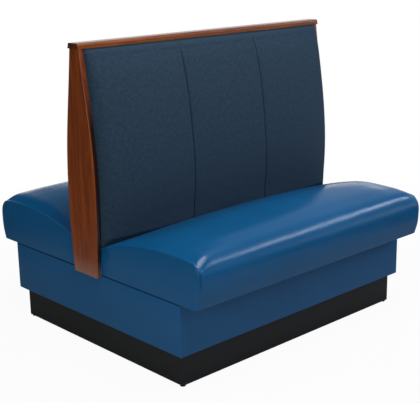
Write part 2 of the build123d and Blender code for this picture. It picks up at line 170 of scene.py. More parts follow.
def painted_shade_beside_padding(tree, sideways, height):
    """The panel's thickness, less its eased arris, below the shoulder, where the padding's shade is painted on.
    """
    strip = add(tree, "ShaderNodeMapRange", {0: sideways, 1: panel_face - 3.5 * MM, 2: panel_face - 2 * MM,
                                             3: 0.93, 4: 0.0}).outputs[0]
    below = add(tree, "ShaderNodeMapRange", {0: height, 1: shoulder_low, 2: shoulder_high,
                                             3: 1.0, 4: 0.0}).outputs[0]
    return add(tree, "ShaderNodeMath", {0: strip, 1: below}, operation="MULTIPLY").outputs[0]


def end_grain(tree, sideways, height):
    """The cap's two ends."""
    return add(tree, "ShaderNodeMapRange", {0: sideways, 1: cap_end - 1.0 * MM, 2: cap_end - 0.3 * MM,
                                            3: 0.0, 4: 0.6}).outputs[0]


panel_tone = ["5c250a", "863d0e", "9e5016"]
cap_tone = ["4a2309", "84420c", "a85e1c"]
panel_wood = stained_cherry("stained_cherry_panel", 2, panel_tone, 0.8, painted_shade_beside_padding)
cap_wood = stained_cherry("stained_cherry_cap", 0, cap_tone, 0.7, end_grain)
print("woods", panel_wood.name, cap_wood.name)

# %% [markdown]
# ## Upholstery vinyl
# The seats and the skirt are covered in upholstery vinyl: PVC on a knitted back, embossed with a
# fine leather grain about 1.5 mm across, drawn here at 3 mm, since finer grain would vanish at this
# size and with it the sparkle in the highlights. Low dimples a few centimetres wide stand for the
# padding beneath. Just under the seats a thin shadow is painted on the skirt.

# %% Blue vinyl
def upholstery_vinyl(name, code, roughness, unevenness, shadow_under=None):
    """Embossed coated cloth.

    unevenness is the height in millimetres of the slow dimples. shadow_under is a height at which
    another piece rests on this one, and under which a shadow is painted.
    """
    made, tree = finish_named(name)
    place = add(tree, "ShaderNodeTexCoord").outputs["Object"]
    grain = add(tree, "ShaderNodeTexVoronoi", {"Vector": place, "Scale": 330.0, "Smoothness": 0.5,
                                               "Randomness": 1.0}, feature="SMOOTH_F1").outputs["Distance"]
    slow = add(tree, "ShaderNodeTexNoise", {"Vector": place, "Scale": 9.0, "Detail": 2.0}).outputs["Fac"]
    tint = add(tree, "ShaderNodeTexNoise", {"Vector": place, "Scale": 3.0, "Detail": 4.0}).outputs["Fac"]
    shade = add(tree, "ShaderNodeMapRange", {0: tint, 1: 0.3, 2: 0.7, 3: 0.94, 4: 1.05}).outputs[0]
    colour = add(tree, "ShaderNodeMix", {0: 1.0, 6: paint(code), 7: shade}, data_type="RGBA",
                 blend_type="MULTIPLY").outputs[2]
    # A painted shadow just under the piece that rests on this one.
    if shadow_under is not None:
        colour = shadow_line(tree, colour, shadow_under)
    matt = add(tree, "ShaderNodeMapRange", {0: tint, 1: 0.3, 2: 0.7, 3: roughness - 0.03,
                                            4: roughness + 0.04}).outputs[0]
    dimple = add(tree, "ShaderNodeBump", {"Height": slow, "Strength": 1.0,
                                          "Distance": unevenness * MM}).outputs[0]
    emboss = add(tree, "ShaderNodeBump", {"Height": grain, "Strength": 0.4, "Distance": 0.3 * MM,
                                          "Normal": dimple}).outputs[0]
    skin = add(tree, "ShaderNodeBsdfPrincipled", {
        "Base Color": colour, "Roughness": matt, "Normal": emboss, "IOR": 1.5, "Specular IOR Level": 0.42})
    add(tree, "ShaderNodeOutputMaterial", {"Surface": skin.outputs[0]})
    return made


seat_vinyl = upholstery_vinyl("seat_upholstery_vinyl", "0b5484", 0.22, 1.5)
skirt_vinyl = upholstery_vinyl("skirt_upholstery_vinyl", "0b5586", 0.36, 0.4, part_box("skirt_cover")[1].z)
print("vinyls", seat_vinyl.name, skirt_vinyl.name)

# %% [markdown]
# ## Woven cloth of the back
# A matt plain weave in navy, with yarns of slightly different blues, which reads as a faint
# mottle. Real threads are about 0.6 mm apart, too fine to show at this size, so the weave is drawn
# 1.8 mm apart. The pattern follows the cloth itself through a UV map measured in metres. A dark
# line a few millimetres high is a painted shadow where the cloth goes in under the cap.

# %% Navy weave
def plain_weave(name, dark, middle, light, pitch):
    """Two sets of threads crossing over and under, pitch apart in metres."""
    made, tree = finish_named(name)
    cloth = add(tree, "ShaderNodeUVMap", uv_map="cloth").outputs["UV"]
    turns = math.pi / pitch
    parts = add(tree, "ShaderNodeSeparateXYZ", {0: cloth})
    waves = []
    for axis in ("X", "Y"):
        angle = add(tree, "ShaderNodeMath", {0: parts.outputs[axis], 1: turns}, operation="MULTIPLY").outputs[0]
        waves.append(add(tree, "ShaderNodeMath", {0: angle}, operation="SINE").outputs[0])
    cross = add(tree, "ShaderNodeMath", {0: waves[0], 1: waves[1]}, operation="MULTIPLY").outputs[0]
    weave = add(tree, "ShaderNodeMath", {0: cross}, operation="ABSOLUTE").outputs[0]
    yarn = add(tree, "ShaderNodeTexNoise", {"Vector": cloth, "Scale": 260.0, "Detail": 2.0}).outputs["Fac"]
    mottle = add(tree, "ShaderNodeTexNoise", {"Vector": cloth, "Scale": 70.0, "Detail": 5.0,
                                              "Roughness": 0.7}).outputs["Fac"]
    mixed = add(tree, "ShaderNodeMix", {0: 0.45, 2: yarn, 3: mottle}, data_type="FLOAT").outputs[0]
    colour = ramp(tree, mixed, [(0.36, dark), (0.50, middle), (0.66, light)])
    hollow = add(tree, "ShaderNodeMapRange", {0: weave, 3: 0.72, 4: 1.08}).outputs[0]
    shaded = add(tree, "ShaderNodeMix", {0: 1.0, 6: colour, 7: hollow}, data_type="RGBA",
                 blend_type="MULTIPLY").outputs[2]
    # A painted shadow under the cap.
    painted_shadow_under_cap = shadow_line(tree, shaded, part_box("top_cap")[0].z)
    bump = add(tree, "ShaderNodeBump", {"Height": weave, "Strength": 0.5, "Distance": 0.3 * MM}).outputs[0]
    skin = add(tree, "ShaderNodeBsdfPrincipled", {
        "Base Color": painted_shadow_under_cap, "Roughness": 0.88, "Normal": bump, "IOR": 1.5, "Specular IOR Level": 0.25,
        "Sheen Weight": 0.12, "Sheen Roughness": 0.5, "Sheen Tint": paint("8fb0d0")})
    add(tree, "ShaderNodeOutputMaterial", {"Surface": skin.outputs[0]})
    return made


navy_weave = plain_weave("navy_plain_weave", "1d3040", "243a4d", "2e465a", 1.8 * MM)
print("cloth", navy_weave.name)

# %% [markdown]
# ## The plain materials
# The toe kick is faced with black laminate, and the glides are moulded black nylon. Inside are
# birch plywood, beech rails, drawn steel springs, bent clips, zinc-plated screws and a needled
# felt pad. Each is a base colour varied by one noise, with the roughness and relief of its making.

# %% Laminate, plastic, plywood, beech, felt and steel
def plain_finish(name, codes, grain, stretch, roughness, relief, metal=0.0):
    """Colour between two hex values over noise of a grain size in mm, stretched along an axis."""
    made, tree = finish_named(name)
    place = add(tree, "ShaderNodeTexCoord").outputs["Object"]
    along = add(tree, "ShaderNodeMapping", {"Vector": place, "Scale": stretch}).outputs["Vector"]
    speck = add(tree, "ShaderNodeTexNoise", {"Vector": along, "Scale": 1 / (grain * MM), "Detail": 5.0,
                                             "Roughness": 0.6}).outputs["Fac"]
    colour = ramp(tree, speck, [(0.35, codes[0]), (0.65, codes[1])])
    matt = add(tree, "ShaderNodeMapRange", {0: speck, 3: roughness - 0.05, 4: roughness + 0.05}).outputs[0]
    bump = add(tree, "ShaderNodeBump", {"Height": speck, "Strength": 0.6, "Distance": relief * MM}).outputs[0]
    skin = add(tree, "ShaderNodeBsdfPrincipled", {"Base Color": colour, "Roughness": matt,
                                                  "Normal": bump, "Metallic": metal})
    add(tree, "ShaderNodeOutputMaterial", {"Surface": skin.outputs[0]})
    return made


even = (1.0, 1.0, 1.0)
black_laminate = plain_finish("black_laminate", ["161819", "1e2021"], 3.0, even, 0.42, 0.03)
black_nylon = plain_finish("moulded_black_nylon", ["101112", "18191a"], 1.0, even, 0.50, 0.05)
birch_plywood = plain_finish("birch_plywood", ["a98558", "cda878"], 6.0, (1.0, 1.0, 0.08), 0.62, 0.10)
beech = plain_finish("planed_beech", ["a57c50", "c79f6f"], 4.0, (0.05, 1.0, 1.0), 0.50, 0.08)
grey_felt = plain_finish("needled_grey_felt", ["4a4a4a", "6e6c69"], 1.5, even, 0.95, 0.60)
spring_steel = plain_finish("drawn_spring_steel", ["6f6f70", "8c8c8d"], 0.6, even, 0.35, 0.02, 1.0)
zinc_plate = plain_finish("zinc_plated_steel", ["9a9da0", "b9bcc0"], 0.8, even, 0.30, 0.02, 1.0)

# %% [markdown]
# ## Finishes on the built parts
# Each built part keeps its shape and gets its real material, also those that stay hidden until a
# seat is taken off.

# %% Assign finishes
wearing = {
    "top_cap": cap_wood, "end_panel_left": panel_wood, "end_panel_right": panel_wood,
    "corner_glides": black_nylon, "toe_kick_front": black_laminate, "toe_kick_rear": black_laminate,
    "toe_kick_left": black_laminate, "toe_kick_right": black_laminate,
    "cap_screws": zinc_plate, "panel_screws": zinc_plate,
}
by_ending = {"_rail": beech, "_tongues": birch_plywood, "_springs": spring_steel,
             "_spring_clips": zinc_plate, "_felt": grey_felt}
for node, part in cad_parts.items():
    finish = wearing.get(node)
    if finish is None and "_seat_" in node:
        finish = next((made for ending, made in by_ending.items() if node.endswith(ending)), None)
    part.data.materials.clear()
    part.data.materials.append(finish or birch_plywood)
print("dressed", len(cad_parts), "built parts")

# %% [markdown]
# ## Surfaces as tables of numbers
# Every padded or covered piece here is the same kind of shape: closed loops of points, one behind
# the other, like the ribs of a boat, with the first and last loop filled by a patch. A loop has
# four sides of two counts, so each patch is a plain grid and the whole mesh is four-sided faces.

# %% Loft tools
def curve_weights(marks, where):
    """Weights that turn values at marks into a smooth curve at where.

    Between two marks the curve is a cubic. Its slope at a mark is that of the parabola through the
    mark and its two neighbours, and at either end that of the last straight stretch.
    """
    marks, where = np.asarray(marks, float), np.asarray(where, float)
    count = len(marks)
    gap = np.diff(marks)
    before, after = gap[:-1], gap[1:]
    inner = np.arange(1, count - 1)
    slope = np.zeros((count, count))
    slope[inner, inner + 1] = before / (after * (before + after))
    slope[inner, inner - 1] = -after / (before * (before + after))
    slope[inner, inner] = (after - before) / (before * after)
    slope[0, :2] = [-1 / gap[0], 1 / gap[0]]
    slope[-1, -2:] = [-1 / gap[-1], 1 / gap[-1]]
    span = np.clip(np.searchsorted(marks, where, side="right") - 1, 0, count - 2)
    width = gap[span][:, None]
    t = ((where - marks[span]) / gap[span])[:, None]
    unit = np.eye(count)
    start = (2 * t ** 3 - 3 * t ** 2 + 1) * unit[span] + (t ** 3 - 2 * t ** 2 + t) * width * slope[span]
    finish = (3 * t ** 2 - 2 * t ** 3) * unit[span + 1] + (t ** 3 - t ** 2) * width * slope[span + 1]
    return start + finish


def along(marks, values, where):
    """A smooth curve through values at marks, read at where, which may have any shape."""
    where = np.asarray(where, float)
    held = np.clip(where.ravel(), marks[0], marks[-1])
    return (curve_weights(marks, held) @ np.asarray(values, float)).reshape(where.shape)


def rise(x):
    """A smooth step from 0 to 1: three x squared less two x cubed."""
    x = np.clip(x, 0, 1)
    return x * x * (3 - 2 * x)


def patch(loop, long_side, short_side):
    """Fills a loop: each point is the sum of its places between opposite sides, less the corner average."""
    n, i, j = len(loop), np.arange(long_side + 1), np.arange(short_side + 1)
    bottom, top = loop[(n - i) % n], loop[short_side + i]
    near, far = loop[j], loop[2 * short_side + long_side - j]
    steps = np.linalg.norm(np.diff(top, axis=0), axis=1)
    u = np.concatenate([[0.0], steps.cumsum() / steps.sum()])[:, None, None]
    v = (j / short_side)[None, :, None]
    across = (1 - v) * bottom[:, None] + v * top[:, None]
    up = (1 - u) * near[None] + u * far[None]
    corners = (1 - u) * ((1 - v) * near[0] + v * near[-1]) + u * ((1 - v) * far[0] + v * far[-1])
    return across + up - corners


def loft(name, loops, long_side, short_side, shape_cap=None):
    """A closed mesh from loops of 2 x (long_side + short_side) points, with a patch over each end.

    A loop runs up its near short side, out along its first long side, down its far short side and
    back. shape_cap may move a patch's inner points; it gets them and -1 or +1 for the end.
    """
    rows, n, _ = loops.shape
    body = np.arange(rows * n).reshape(rows, n)
    onward = np.roll(body, -1, axis=1)
    faces = [np.stack([body[:-1], onward[:-1], onward[1:], body[1:]], axis=-1).reshape(-1, 4)]
    points = [loops.reshape(-1, 3)]
    i, j = np.arange(long_side + 1), np.arange(short_side + 1)
    start = rows * n
    for end, row in ((-1, 0), (1, rows - 1)):
        filled = patch(loops[row], long_side, short_side)
        inner = filled[1:-1, 1:-1]
        if shape_cap:
            inner = shape_cap(inner, end)
        index = np.zeros((long_side + 1, short_side + 1), int)
        index[0], index[:, short_side] = body[row, j], body[row, short_side + i]
        index[long_side], index[:, 0] = body[row, 2 * short_side + long_side - j], body[row, (n - i) % n]
        index[1:-1, 1:-1] = start + np.arange(inner.shape[0] * inner.shape[1]).reshape(inner.shape[:2])
        start += inner.shape[0] * inner.shape[1]
        quads = np.stack([index[:-1, :-1], index[1:, :-1], index[1:, 1:], index[:-1, 1:]], axis=-1)
        faces.append((quads if end < 0 else quads[..., ::-1]).reshape(-1, 4))
        points.append(inner.reshape(-1, 3))
    return mesh_piece(name, np.concatenate(points), np.concatenate(faces))


def volume(points, faces):
    """Signed volume: a sixth of the sum, over triangles, of corner dotted with the cross of the other two."""
    tri = np.concatenate([faces[:, [0, 1, 2]], faces[:, [0, 2, 3]]])
    a, b, c = points[tri[:, 0]], points[tri[:, 1]], points[tri[:, 2]]
    return float(np.einsum("ij,ij->i", a, np.cross(b, c)).sum() / 6)


def mesh_piece(name, points, faces):
    """Puts points and four-sided faces into a new smooth-shaded object, turned so that faces look out."""
    litres = volume(points, faces) * 1000
    if litres < 0:
        faces = faces[:, ::-1]
    mesh = bpy.data.meshes.new(name)
    mesh.from_pydata(points.tolist(), [], faces.tolist())
    mesh.polygons.foreach_set("use_smooth", np.ones(len(faces), bool))
    piece = bpy.data.objects.new(name, mesh)
    bpy.context.scene.collection.objects.link(piece)
    print(name, len(points), "points,", round(abs(litres), 3), "litres")
    return piece


def points_of(piece):
    """All vertices of a piece as rows of x, y, z."""
    flat = np.empty(len(piece.data.vertices) * 3)
    piece.data.vertices.foreach_get("co", flat)
    return flat.reshape(-1, 3)


def move_points(piece, points):
    """Puts changed vertices back."""
    piece.data.vertices.foreach_set("co", np.ascontiguousarray(points, float).ravel())
    piece.data.update()


def half_turn(piece, name):
    """The same piece on the far side of the booth, turned by 180 degrees about the upright axis."""
    other = bpy.data.objects.new(name, piece.data.copy())
    bpy.context.scene.collection.objects.link(other)
    move_points(other, points_of(piece) * [-1, -1, 1])
    return other


# %% [markdown]
# ## Stuffing by simulation
# Vinyl and cloth lie over their stuffing the way a tent lies over air: held at the staples and the
# seams, swelling between them. So each cushion starts a few millimetres too thin, is held where it
# is sewn or stapled, and is blown up for twenty short steps. How far a point may travel is limited,
# so the cushion keeps its measured outline. The vinyl and the foam under it are too thick to fold as
# finely as the mesh can, so each point's travel is averaged with its neighbours' some forty times.

# %% Swelling
def normals_of(piece):
    """Outward directions at the vertices."""
    flat = np.empty(len(piece.data.vertices) * 3)
    piece.data.vertices.foreach_get("normal", flat)
    return flat.reshape(-1, 3)


def thick(piece, travel, held, times=40):
    """Averages travel along the edges, each time half its own and half its neighbours' mean.

    Stapled points keep theirs.
    """
    ends = np.empty(len(piece.data.edges) * 2, int)
    piece.data.edges.foreach_get("vertices", ends)
    a, b = ends.reshape(-1, 2).T
    ways, count = np.concatenate([a, b]), len(travel)
    others = np.concatenate([b, a])
    neighbours = np.bincount(ways, minlength=count)[:, None]
    free = (held < 0.99)[:, None]
    for _ in range(times):
        mean = np.stack([np.bincount(ways, travel[others, k], count) for k in range(3)], axis=-1) / neighbours
        travel = np.where(free, 0.5 * travel + 0.5 * mean, travel)
    return travel


def stuff(piece, held, slack, pressure, most):
    """Swells a piece in place.

    held is 1 where a point is stapled and 0 where it is free. The start is drawn in along the
    normals by slack times (1 - held). A move d is limited to most x tanh(d / most).
    """
    full = points_of(piece).copy()
    move_points(piece, full - normals_of(piece) * (slack * (1 - held))[:, None])
    begin = points_of(piece).copy()
    group = piece.vertex_groups.new(name="held")
    for level in range(1, 11):
        chosen = np.flatnonzero(np.round(held * 10).astype(int) == level)
        if len(chosen):
            group.add(chosen.tolist(), level / 10, "REPLACE")
    cloth = piece.modifiers.new("stuffing", "CLOTH")
    cloth.settings.vertex_group_mass = "held"
    cloth.settings.quality = 6
    cloth.settings.mass = 0.4
    cloth.settings.tension_stiffness, cloth.settings.compression_stiffness = 30, 30
    cloth.settings.shear_stiffness, cloth.settings.bending_stiffness = 20, 4.0
    cloth.settings.use_pressure = True
    cloth.settings.uniform_pressure_force = pressure
    cloth.settings.effector_weights.gravity = 0
    cloth.collision_settings.use_collision = False
    cloth.point_cache.frame_start, cloth.point_cache.frame_end = 1, 20
    for step in range(1, 21):
        bpy.context.scene.frame_set(step)
    evaluated = piece.evaluated_get(bpy.context.evaluated_depsgraph_get())
    flat = np.empty(len(full) * 3)
    evaluated.data.vertices.foreach_get("co", flat)
    travel = thick(piece, flat.reshape(-1, 3) - begin, held)
    piece.modifiers.remove(cloth)
    piece.vertex_groups.remove(group)
    bpy.context.scene.frame_set(1)
    far = np.linalg.norm(travel, axis=1, keepdims=True)
    print(piece.name, "swelled by", np.round(np.percentile(far, [50, 95, 100]) / MM, 2), "mm")
    limited = travel * most * np.tanh(far / most) / np.maximum(far, 1e-9)
    move_points(piece, begin + limited)
    left_over = np.einsum("ij,ij->i", points_of(piece) - full, normals_of(piece))
    spans = np.round(np.percentile(left_over, [1, 50, 99]) / MM, 2)
    print(piece.name, "stands out by", spans, "mm from its outline")


# %% [markdown]
# ## The seats: outline of one section
# Cut across, a seat is a box that has been stuffed: it is fullest a little below its front edge,
# rounds over to a high crest, and dips towards the back, where the sitter's weight is. Along its
# length the crest is highest in the middle, and each end slopes down over the last six centimetres
# to a crisp edge. Each row of the table is one point of that outline, with the share of the end
# slope's 30 mm and of the crown's 20 mm that it gets, and the radius of the upright corner there:
# almost sharp over the rails, round where there is only stuffing. Rows run from behind the seat,
# over its top, to under its front edge.

# %% Seat outline
seat_low, seat_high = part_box("front_seat_cover")
seat_bottom, seat_half = seat_low.z, seat_high.x
print("seat from", round(seat_bottom, 4), "half length", round(seat_half, 4))

# reach, height, share of end slope, share of crown, radius of the upright corner
seat_rows = np.array([
    [59.4, 0.0, 0.00, 0.00, 1.0],
    [58.6, 1.0, 0.00, 0.00, 1.2],
    [58.5, 25.0, 0.00, 0.00, 1.2],
    [58.6, 78.0, 0.02, 0.02, 5.0],
    [63.5, 89.0, 0.06, 0.06, 3.0],
    [74.0, 98.0, 0.09, 0.12, 0.0],
    [100.0, 107.5, 0.16, 0.24, 0.0],
    [150.0, 122.0, 0.40, 0.64, 0.0],
    [235.0, 139.0, 0.72, 0.93, 0.0],
    [330.0, 150.5, 1.00, 1.00, 0.0],
    [425.0, 154.5, 1.00, 0.58, 0.0],
    [500.0, 151.5, 1.00, 0.12, 2.0],
    [537.0, 146.0, 0.86, 0.02, 7.0],
    [557.0, 132.0, 0.52, 0.00, 11.0],
    [566.5, 109.0, 0.10, 0.00, 12.0],
    [565.0, 80.0, 0.00, 0.00, 9.0],
    [557.0, 45.0, 0.00, 0.00, 2.5],
    [546.0, 8.0, 0.00, 0.00, 1.4],
    [543.4, 1.0, 0.00, 0.00, 1.2],
    [542.6, -0.4, 0.00, 0.00, 1.0],
])
end_slope, edge_rise, crown_rise = 60 * MM, 30 * MM, 20 * MM


# %% [markdown]
# The outline's rows are joined by smooth curves, once for all stations along the seat: the curve is
# a weighted sum of the rows, so the weights form one matrix and the whole seat is one product.
# Stations lie closer together round the sewn corners, where a pleat is pressed in afterwards.

# %% Seat surface
def spread(parts):
    """Positions from piece to piece: (start, stop, count) for each part, evenly spaced."""
    run = [np.linspace(start, stop, count, endpoint=False) for start, stop, count in parts]
    return np.concatenate(run + [[parts[-1][1]]])


def seat_sections(x):
    """Rows of the outline at stations x: reach and height, in metres, as (stations, rows, 2)."""
    inset = seat_half - np.abs(x)[:, None]
    edge = 1 - (1 - np.clip(inset / end_slope, 0, 1)) ** 2
    crown = 1 - np.clip(np.abs(x)[:, None] / (seat_half - end_slope), 0, 1) ** 2
    reach, height, roll_share, crown_share, radius = (seat_rows * [MM, MM, 1, 1, MM]).T
    corner = 1 - np.sqrt(1 - (1 - np.clip(inset / np.maximum(radius, 0.1 * MM), 0, 1)) ** 2)
    reach_here = reach + corner * radius * np.sign(reach.mean() - reach)
    height_here = height + edge * roll_share * edge_rise + crown * crown_share * crown_rise
    return np.stack([reach_here, height_here], axis=-1)


long_side, short_side = 52, 20
corner_insets = np.array([0, 0.3, 0.8, 1.5, 2.3, 3.1, 3.9, 4.7, 5.6, 6.8, 8.6, 11, 14, 18, 23, 28.5, 35]) * MM
middle_stations = np.linspace(-seat_half + 42 * MM, seat_half - 42 * MM, 80)
stations = np.concatenate([corner_insets - seat_half, middle_stations, (seat_half - corner_insets)[::-1]])
sections = seat_sections(stations)
typical = seat_sections(np.array([0.0]))[0]
marks = np.concatenate([[0], np.linalg.norm(np.diff(typical, axis=0), axis=1).cumsum()])
rear_mark, front_mark = marks[4], marks[12]
where = spread([(0, 2.2 * MM, 3), (2.2 * MM, rear_mark, short_side - 3), (rear_mark, front_mark, long_side),
                (front_mark, marks[-1] - 3.2 * MM, short_side - 4), (marks[-1] - 3.2 * MM, marks[-1], 4)])
upper = np.einsum("kr,srv->skv", curve_weights(marks, where), sections)
closing = np.linspace(upper[:, -1], upper[:, 0], long_side + 1, axis=1)[:, 1:-1]
profile = np.concatenate([upper, closing], axis=1)
loops = np.stack([np.broadcast_to(stations[:, None], profile.shape[:2]), -profile[..., 0],
                  seat_bottom + profile[..., 1]], axis=-1)
print("seat loops", loops.shape)


def belly(inner, end):
    """The end faces swell by up to 3 mm in the middle; above the rails the wood end presses them in by 4 mm."""
    reach, height = -inner[..., 1], inner[..., 2] - seat_bottom
    upwards = np.sin(np.pi * np.clip(height / (150 * MM), 0, 1))
    swell = rise((reach - 90 * MM) / (80 * MM)) * rise((555 * MM - reach) / (60 * MM)) * upwards
    pressed = rise((125 * MM - reach) / (35 * MM)) * rise((height - 55 * MM) / (20 * MM))
    inner[..., 0] += end * (3 * MM * swell - 4 * MM * pressed)
    return inner


front_seat = loft("front_seat_cushion", loops, long_side, short_side, belly)

# %% [markdown]
# The vinyl is stapled under the rails and lies tight over them, so its lower edge is held, and so
# is the rear, which tucks under the back. Above the rails the hold lets go over three centimetres.
# The sewn line down each front corner and the taut end faces hold too, though they give a little.

# %% Stuff the seat
seat_points = points_of(front_seat)
seat_height, seat_reach = seat_points[:, 2] - seat_bottom, -seat_points[:, 1]
seat_inset = seat_half - np.abs(seat_points[:, 0])
over_rails = 1 - rise((seat_height - 52 * MM) / (30 * MM))
under_back = 1 - rise((seat_reach - 105 * MM) / (60 * MM))
beside_wood = 1 - rise((seat_reach - 100 * MM) / (40 * MM))
from_corner = np.hypot(seat_inset, np.maximum(556 * MM - seat_reach, 0))
corner_seam = 0.7 * np.exp(-(from_corner / (10 * MM)) ** 2)
end_faces = 0.9 * (1 - rise(seat_inset / (8 * MM)))
seat_held = np.clip(np.maximum.reduce([over_rails, under_back, beside_wood, corner_seam, end_faces]), 0, 1)
stuff(front_seat, seat_held, 3.0 * MM, 4.0, 7 * MM)

# %% [markdown]
# Each front corner is sewn: a pleat runs down it from just under the top, deep at first and fading
# half way down, and the top gathers in three small folds towards it.

# %% Corner pleats
def press_pleats(piece):
    """Pushes points inwards along a line 4 mm from each end, and ripples the top around its head."""
    points, out = points_of(piece).copy(), normals_of(piece)
    height, reach = points[:, 2] - seat_bottom, -points[:, 1]
    inset = seat_half - np.abs(points[:, 0])
    in_front = reach > 500 * MM
    across, along_top = inset - 4 * MM, 545 * MM - reach
    line = np.exp(-(across / (1.5 * MM)) ** 2) * in_front
    depth = 3.4 * MM * rise((height - 48 * MM) / (40 * MM)) * rise((143 * MM - height) / (10 * MM))
    turn = np.arctan2(across, np.maximum(along_top, 0) + 6 * MM)
    away = np.hypot(across, along_top)
    near_head = np.exp(-((away - 14 * MM) / (11 * MM)) ** 2) * rise((height - 125 * MM) / (20 * MM))
    folds = 0.7 * MM * np.cos(turn * 9) * near_head * in_front
    move_points(piece, points + out * (folds - depth * line)[:, None])


press_pleats(front_seat)

# %% [markdown]
# ## The channelled back
# Each side of the back is three panels of cloth sewn edge to edge over foam on bent plywood. Seen
# from the side the back swells to its fullest at lumbar height and leans away to the cap. Across,
# every channel is crowned, the cloth dives into the seams, and the seams go flat just below the
# cap, where the cloth is stapled tight. The outer channels roll over to meet the wood ends.

# %% Outline of the back
half_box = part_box("end_panel_right")[0].x
panel_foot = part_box("end_panel_right")[0].z
cap_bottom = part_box("top_cap")[0].z
panel_heights = panel_foot + np.array([0.0, 0.19, 0.41, 0.57, 0.785, 1.0]) * (cap_bottom - panel_foot)
panel_widths = np.array([65.0, 74.0, 77.0, 70.5, 49.0, 26.0]) * MM
back_foot, back_top = 389.5 * MM, cap_bottom
back_heights = back_foot + (back_top - back_foot) * np.array(
    [0.0, 0.13, 0.23, 0.35, 0.49, 0.62, 0.75, 0.87, 0.955, 0.985, 1.0])
full_reach = 129 * MM
back_reaches = full_reach * np.array([0.88, 0.935, 0.985, 1.0, 0.955, 0.885, 0.785, 0.65, 0.515, 0.42, 0.27])
foot_reach, foot_slope = 58.5 * MM, 0.617
seam_x = 181 * MM
sewn_gap = 0.3 * MM


def seam_reach(z):
    """How far the seams stand out: the smaller of the side curve and the slanted foot, with a soft corner."""
    curve, foot = along(back_heights, back_reaches, z), foot_reach + (z - back_foot) / foot_slope
    soft = 2.5 * MM
    return -soft * np.log(np.exp(-curve / soft) + np.exp(-foot / soft))


low_rows, high_rows = 434 * MM, back_top - 32 * MM
rows_z = spread([(398.4 * MM, low_rows, 14), (low_rows, high_rows, 60), (high_rows, back_top - 0.4 * MM, 14)])
back_line = np.concatenate([[0], np.hypot(np.diff(seam_reach(rows_z)), np.diff(rows_z)).cumsum()])
print("back rows", len(rows_z), "length up the cloth", round(back_line[-1], 3))

# %% [markdown]
# A channel's front is the seam's line plus three things: a crown that rises steeply out of the
# seam, a pull of 7 mm where the stitches draw the cloth in, and on the outer channels the roll.
# Near the cap the crown and the pull fade, since the cloth is stapled tight there.

# %% Channel surface
middle_crown, outer_crown, seam_depth = 3 * MM, 14 * MM, 3 * MM
seam_pull, pull_width, side_roll = 7 * MM, 5 * MM, 26 * MM


def channel_front(z, d, width, outer):
    """Reach of the cloth at height z and distance d from its near seam, both as a grid."""
    tight = rise((back_top - z) / (95 * MM)) * 0.9 + 0.1
    base = seam_reach(z)
    side = along(panel_heights, panel_widths, z) + 4 * MM
    pull = seam_pull * (1 - np.exp(-d / pull_width)) * tight
    if not outer:
        other = seam_pull * (1 - np.exp(-(width - d) / pull_width)) * tight
        crown = middle_crown * (1 - np.abs(2 * d / width - 1) ** 2.5) ** 0.6 * tight
        return base + pull * other / seam_pull / np.maximum(tight, 0.01) + crown - seam_depth * tight
    t = d / width
    rolled = side + 0.5 * (base - side)
    crown = outer_crown * base / full_reach * 4 * t * (1 - t) * tight
    middle = base + (rolled - base) * t + crown + pull - seam_depth * tight * (1 - t)
    edge = np.sqrt(1 - (1 - np.clip((width - d) / side_roll, 0, 1)) ** 2)
    return np.minimum(middle, side) + np.maximum(middle - side, 0) * edge


def channel_held(piece, near, far, outer):
    """Held along the seams, the top, the foot and all behind; free over the front."""
    x, y, z = points_of(piece).T
    x = np.abs(x) if outer else x
    back = along(panel_heights, panel_widths, z) - 1.7 * MM
    off_frame = rise((-y - back - 2 * MM) / (14 * MM))
    past_far = far + (2 * MM if outer else -2 * MM) - x
    off_seams = rise((x - near - 2 * MM) / (16 * MM)) * rise(past_far / (16 * MM))
    off_ends = rise((back_top - z - 3 * MM) / (40 * MM)) * rise((z - 402 * MM) / (30 * MM))
    return 1 - off_frame * off_seams * off_ends


def channel(name, side):
    """A closed channel on the front: side is -1, 0 or 1. Loops lie level, one above the other."""
    outer = side != 0
    near = seam_x + sewn_gap if outer else -seam_x + sewn_gap
    far = half_box - 0.3 * MM if outer else seam_x - sewn_gap
    width = far - near
    turn = np.linspace(np.pi / 2, 0, 11)
    ending = width - side_roll * (1 - np.cos(turn)) if outer else width - np.linspace(12, 0, 11) * MM
    d = np.concatenate([np.linspace(0, 12 * MM, 8)[:-1], np.linspace(12 * MM, ending[0], 26)[:-1], ending])
    z = rows_z[:, None]
    front = channel_front(z, d[None], width, outer)
    behind = np.broadcast_to(along(panel_heights, panel_widths, z) - 1.7 * MM, front.shape)
    depth = np.linspace(0, 1, 5)
    near_wall = behind[:, :1] + (front[:, :1] - behind[:, :1]) * depth
    far_wall = behind[:, -1:] + (front[:, -1:] - behind[:, -1:]) * depth[::-1]
    reach = np.concatenate([near_wall[:, :-1], front, far_wall[:, 1:], behind[:, -2:0:-1]], axis=1)
    across = np.concatenate([np.zeros(4), d, np.full(4, width), d[-2:0:-1]])
    x = np.broadcast_to((side if outer else 1) * (near + across), reach.shape)
    loops = np.stack([x, -reach, np.broadcast_to(z, reach.shape)], axis=-1)
    piece = loft(name, loops, len(d) - 1, 4)
    stuff(piece, channel_held(piece, near, far, outer), 2.5 * MM, 4.0, 6 * MM)
    cloth_uv(piece, loops.shape[:2], across, back_line)
    return piece


def cloth_uv(piece, grid, across, up):
    """A UV map in metres: distance across the cloth and distance up it."""
    where = points_of(piece)[:, [0, 2]]
    body = np.stack(np.broadcast_arrays(across[None, :], up[:, None]), axis=-1).reshape(-1, 2)
    where[:grid[0] * grid[1]] = body
    corners = np.empty(len(piece.data.loops), int)
    piece.data.loops.foreach_get("vertex_index", corners)
    layer = piece.data.uv_layers.new(name="cloth")
    layer.data.foreach_set("uv", where[corners].ravel())


channels = {}
for word, side in (("left", -1), ("middle", 0), ("right", 1)):
    channels[word] = channel("back_channel_front_" + word, side)

